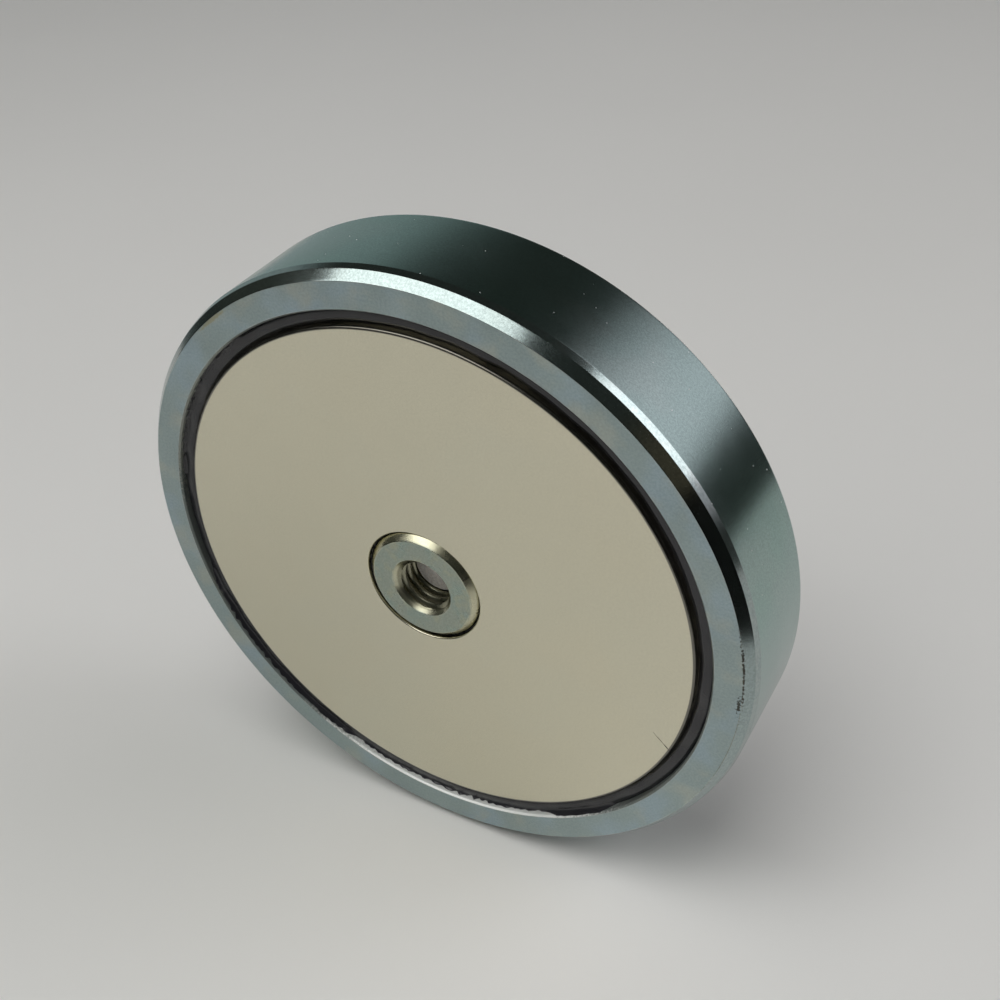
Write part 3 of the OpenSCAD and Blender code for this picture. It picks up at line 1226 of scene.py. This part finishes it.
@dataclass
class Eyebolt(Maker):
    """The forged lifting eye: ring, neck, collar and threaded shank in one piece."""

    wire: float = 10.0 * MM
    collar_high: float = 3.5 * MM
    neck_high: float = 8.0 * MM
    neck_foot: float = 8.6 * MM
    neck_top: float = 5.6 * MM
    neck_bulge: float = 0.7
    neck_fillet: float = 4.5 * MM
    collar_fillet: float = 1.6 * MM
    collar_edge: float = 0.7 * MM
    flash: float = 0.12 * MM
    flash_width: float = 0.45 * MM
    tip: float = 0.9 * MM
    skin_step: float = 0.62 * MM
    columns: int = 112

    def _measure(self) -> None:
        """Reads the eye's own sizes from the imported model."""
        low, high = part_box("eyebolt")
        self.tip_y, self.top_y = low.y, high.y
        self.collar = high.x
        self.eye = high.z
        self.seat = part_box("lock_washer")[1].y
        self.ring = self.eye - self.wire / 2
        self.centre = self.top_y - self.eye

    def head(self, points: np.ndarray) -> np.ndarray:
        """Distance to the forged head.

        Args:
            points: Points with a last axis of x, y, z.

        Returns:
            The distances, negative inside.
        """
        x, y, z = points[..., 0], points[..., 1], points[..., 2]
        out = np.hypot(y - self.centre, z)
        seam = self.flash * np.exp(-((x / self.flash_width) ** 2))
        ring = np.hypot(out - self.ring, x) - (self.wire / 2 - self.flash) - seam
        spread = np.hypot(x, z)
        foot = self.seat + self.collar_high
        rise = np.clip((y - foot) / (self.neck_high - self.collar_high), 0, 1)
        neck = (spread - (self.neck_foot + (self.neck_top - self.neck_foot) * rise ** self.neck_bulge)) * 0.8
        neck = np.maximum(neck, np.maximum(foot - 0.8 * MM - y, y - foot - self.neck_high))
        middle = self.seat + self.collar_high / 2
        over = spread - self.collar + self.collar_edge
        above = np.abs(y - middle) - self.collar_high / 2 + self.collar_edge
        collar = np.hypot(np.maximum(over, 0), np.maximum(above, 0)) - self.collar_edge
        collar += np.minimum(np.maximum(over, above), 0)
        return blend_solids(blend_solids(ring, neck, self.neck_fillet), collar, self.collar_fillet)

    def build(self) -> bpy.types.Object:
        """Forges the head, cuts the shank's thread and makes them one piece.

        Returns:
            The eyebolt.
        """
        self._measure()
        low = np.array((-self.collar, self.seat, -self.eye))
        high = np.array((self.collar, self.top_y, self.eye))
        points, faces = skin_of(self.head, low, high, self.skin_step)
        head = mesh_object("lifting_eye", settle(points, faces, self.head, 5), faces)
        shank = self._shank()
        join = head.modifiers.new("one_piece", "BOOLEAN")
        join.operation, join.solver, join.object = "UNION", "EXACT", shank
        apply_modifiers(head)
        bpy.data.objects.remove(shank)
        even_shading(head, crease_deg=42.0)
        return head

    def _shank(self) -> bpy.types.Object:
        """The threaded shank, closed inside the collar.

        Returns:
            The shank.
        """
        thread = Thread()
        hidden = self.seat + self.collar_high / 2
        angles, depths, phase = thread.rows(self.tip_y, hidden, self.columns)
        root = float(thread.screw(np.array(0.0)))
        point = root + (depths - self.tip_y) * (thread.full - root) / self.tip
        radii = np.minimum(thread.screw(phase), point)
        fade = smooth_step(depths, self.seat - 1.6 * MM, self.seat - 0.6 * MM)
        radii = radii * (1 - fade) + (root + 0.2 * MM) * fade
        ends = np.zeros((len(angles), 1))
        radii = np.concatenate((ends, ends + root * 0.86, radii, ends), 1)
        depths = np.concatenate((ends + self.tip_y, ends + self.tip_y, depths, ends + hidden), 1)
        points = spun(radii, depths, angles)
        faces = wrapped_quads(len(angles), radii.shape[1], False, False)
        return mesh_object("shank", points.reshape(-1, 3), faces, merge=WELD)

    def dress(self, piece: bpy.types.Object, effects: Effects) -> None:
        """Gives the eye its forged steel, and the shank's sheared end a pale colour: painted light so it
        reads bright deep in the bore.
        """
        dress(piece, [FORGED_STEEL.build(effects), SHEARED_END_PAINTED_LIGHT.build(effects)])
        for face in piece.data.polygons:
            if face.center.y < self.tip_y + 0.02 * MM:
                face.material_index = 1


# ---------------------------------------------------------------------- studio


@dataclass(frozen=True)
class SoftLight:
    """A large rectangular light that faces the magnet.

    It can be left out of the matt surfaces' light, or out of the metal's reflections.
    """

    name: str
    azimuth_deg: float
    elevation_deg: float
    distance: float
    width: float
    height: float
    radiance: float
    colour: Colour
    slide: float = 0.0
    lift: float = 0.0
    lights_matt: bool = True
    mirrored: bool = True

    def build(self) -> bpy.types.Object:
        """Hangs the light, turned to the magnet, and slides it in its own plane.

        Returns:
            The light.
        """
        data = bpy.data.lights.new(self.name, "AREA")
        data.shape, data.size, data.size_y = "RECTANGLE", self.width, self.height
        data.energy = self.radiance * math.pi * self.width * self.height
        data.color = self.colour
        light = bpy.data.objects.new(self.name, data)
        facing = direction(self.azimuth_deg, self.elevation_deg)
        right = np.cross((0.0, 0.0, 1.0), facing)
        right /= np.linalg.norm(right)
        up = np.cross(facing, right)
        light.location = facing * self.distance + right * self.slide + up * self.lift
        light.rotation_euler = Vector(facing.tolist()).to_track_quat("Z", "Y").to_euler()
        light.visible_diffuse, light.visible_glossy = self.lights_matt, self.mirrored
        bpy.context.scene.collection.objects.link(light)
        return light


def direction(azimuth_deg: float, elevation_deg: float) -> np.ndarray:
    """A unit vector: azimuth 0 is in front of the pull face and 90 to its right."""
    a, e = math.radians(azimuth_deg), math.radians(elevation_deg)
    return np.array((math.sin(a) * math.cos(e), -math.cos(a) * math.cos(e), math.sin(e)))


@dataclass(frozen=True)
class Glow:
    """A soft patch of light in the surroundings."""

    azimuth_deg: float
    half_azimuth_deg: float
    low_deg: float
    high_deg: float
    soft_sides_deg: float
    soft_ends_deg: float
    colour: Colour


@dataclass
class Studio:
    """Table, surroundings, lights and camera."""

    table_radius: float = 0.45
    far_radius: float = 9.0
    card_near: tuple[float, float] = (0.157, 0.004)
    card_far: tuple[float, float] = (0.190, -0.34)
    card_height: float = 0.12
    card_finish: ResinFinish = ResinFinish(
        "card_black", (0.012, 0.012, 0.011), (0.02, 0.019, 0.017), roughness=0.8, dust=0.0, gloss=0.1)
    dark: Colour = (0.028, 0.032, 0.028)
    glows: tuple[Glow, ...] = (
        Glow(-135, 27, -40, 26, 7, 9, (0.28, 0.335, 0.33)),
        Glow(131, 25, 8, 50, 11, 4, (1.04, 0.96, 1.03)),
        Glow(-86, 14, 4, 40, 8, 8, (0.045, 0.048, 0.040)),
        Glow(61, 10, 6, 32, 7, 8, (0.085, 0.068, 0.045)))
    lights: tuple[SoftLight, ...] = (
        SoftLight("window_front_left", -30, 50, 1.3, 1.33, 0.85, 2.52, (1.0, 0.99, 0.965), -0.143, 0.098,
                  lights_matt=False),
        SoftLight("front_fill", -30, 50, 1.5, 1.5, 1.0, 0.99, (1.0, 0.99, 0.965), mirrored=False),
        SoftLight("window_right", 113, 37, 1.5, 0.62, 0.95, 1.9, (0.97, 0.985, 1.0)),
        SoftLight("ceiling", -10, 73, 1.1, 0.75, 0.75, 3.4, (1.0, 1.0, 0.985), mirrored=False))
    camera_place: tuple[float, float, float] = (0.09528, -0.13001, 0.13357)
    camera_turn_deg: tuple[float, float, float] = (53.200, 5.466, 31.188)
    lens: float = 47.15
    sensor: float = 36.0
    shift: tuple[float, float] = (0.07, 0.017)

    def build(self, effects: Effects) -> None:
        """Sets the whole studio up.

        Args:
            effects: The shared effect groups.
        """
        self._table()
        self._dark_card(effects)
        self._surroundings()
        for light in self.lights:
            light.build()
        self._camera()
        bpy.context.scene.view_settings.view_transform = "Standard"

    def _table(self) -> None:
        """Lays the table under the magnet and on to the horizon.

        Only the camera sees the far part. Reflections show the dark room there.
        """
        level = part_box("cup")[0].z
        material = TableFinish().build()
        angles = np.linspace(0, TAU, 128, endpoint=False)[:, None]
        for name, inner, outer in (("table_near", 0.0, self.table_radius),
                                   ("table_far", self.table_radius, self.far_radius)):
            points = spun(np.array((inner, outer)), 0.0, angles)[..., [0, 2, 1]]
            points[..., 2] = level
            faces = wrapped_quads(len(angles), 2, True, False)
            top = mesh_object(name, points.reshape(-1, 3), faces, merge=TINY)
            dress(top, [material])
            top.visible_glossy = top.visible_diffuse = inner == 0.0

    def _dark_card(self, effects: Effects) -> None:
        """Stands a black card at the right, which only the metal's reflections show."""
        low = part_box("cup")[0].z
        high = low + self.card_height
        corners = ((self.card_near, low), (self.card_far, low), (self.card_far, high), (self.card_near, high))
        card = mesh_object("dark_card", np.array([(*foot, z) for foot, z in corners]), [[0, 1, 2, 3]])
        dress(card, [self.card_finish.build(effects)])
        card.visible_camera = card.visible_diffuse = card.visible_shadow = False

    def _surroundings(self) -> None:
        """Makes the room: dark, with soft glows, and pale where the camera looks straight at it."""
        world = bpy.data.worlds.new("room")
        bpy.context.scene.world = world
        world.use_nodes = True
        world.node_tree.nodes.clear()
        graph = Graph(world.node_tree)
        look = graph.add("ShaderNodeTexCoord").outputs["Generated"]
        colour = self.dark
        for glow in self.glows:
            turn = {"Vector": look, "Angle": math.radians(-glow.azimuth_deg)}
            turned = graph.add("ShaderNodeVectorRotate", turn, rotation_type="Z_AXIS").outputs[0]
            parts = graph.add("ShaderNodeSeparateXYZ", {0: turned}).outputs
            azimuth = graph.math("ARCTAN2", parts["X"], graph.product(parts["Y"], -1.0))
            azimuth = graph.math("ABSOLUTE", azimuth)
            elevation = graph.math("ARCSINE", parts["Z"])
            half, side, low, high, soft = (math.radians(angle) for angle in (
                glow.half_azimuth_deg, glow.soft_sides_deg, glow.low_deg, glow.high_deg, glow.soft_ends_deg))
            mask = graph.product(graph.ramp(azimuth, half - side, half + side, 1.0, 0.0),
                                 graph.ramp(elevation, low - soft, low + soft),
                                 graph.ramp(elevation, high - soft, high + soft, 1.0, 0.0))
            colour = graph.mix(mask, colour, glow.colour)
        room = graph.add("ShaderNodeBackground", {"Color": colour})
        pale = graph.add("ShaderNodeBackground", {"Color": BACKDROP})
        seen = graph.add("ShaderNodeLightPath").outputs["Is Camera Ray"]
        both = graph.add("ShaderNodeMixShader", {0: seen, 1: room.outputs[0], 2: pale.outputs[0]})
        graph.add("ShaderNodeOutputWorld", {"Surface": both.outputs[0]})

    def _camera(self) -> None:
        """Stands the camera above and to the right of the pull face."""
        data = bpy.data.cameras.new("camera")
        data.lens, data.sensor_width = self.lens, self.sensor
        data.shift_x, data.shift_y = self.shift
        data.clip_start, data.clip_end = 0.005, 50.0
        camera = bpy.data.objects.new("camera", data)
        camera.location = self.camera_place
        camera.rotation_euler = [math.radians(a) for a in self.camera_turn_deg]
        bpy.context.scene.collection.objects.link(camera)
        bpy.context.scene.camera = camera


def main() -> None:
    """Builds the studio and every piece of the magnet."""
    logging.basicConfig(level=logging.INFO, format="%(name)s %(message)s")
    effects = Effects()
    Studio().build(effects)
    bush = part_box("threaded_bush")[1].x
    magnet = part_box("ring_magnet")[1].x
    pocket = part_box("outer_potting")[1].x
    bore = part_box("bore_potting")[1].x
    smears = (Smear(196, 245, 0.45 * MM, 0.12 * MM, 31), Smear(247, 293, 0.95 * MM, 0.14 * MM, 32),
              Smear(295, 311, 0.22 * MM, 0.05 * MM, 33), Smear(128, 170, 0.85 * MM, 0.2 * MM, 34))
    order = (
        (Cup(), "cup", "magnet", "zinc_steel"),
        (RingMagnet(), "ring_magnet", "magnet", "nickel_plate"),
        (Potting("outer_epoxy", "outer_potting", inner=magnet, outer=pocket, level=1.3 * MM, smears=smears),
         "outer_potting", "magnet", "black_epoxy"),
        (Potting("bore_epoxy", "bore_potting", inner=bush, outer=bore, level=1.1 * MM, segments=256),
         "bore_potting", "magnet", "black_epoxy"),
        (BondFilm(), "bond_film", "magnet", "adhesive"),
        (ThreadedBush(), "threaded_bush", "magnet", "bush_zinc"),
        (LockWasher(), "lock_washer", "washer", "washer_steel"),
        (Eyebolt(), "eyebolt", "eye", "eye_steel"),
    )
    for maker, node, body, slot in order:
        piece = maker.build()
        maker.dress(piece, effects)
        stand_in(piece, node, body)


if __name__ == "__main__":
    main()
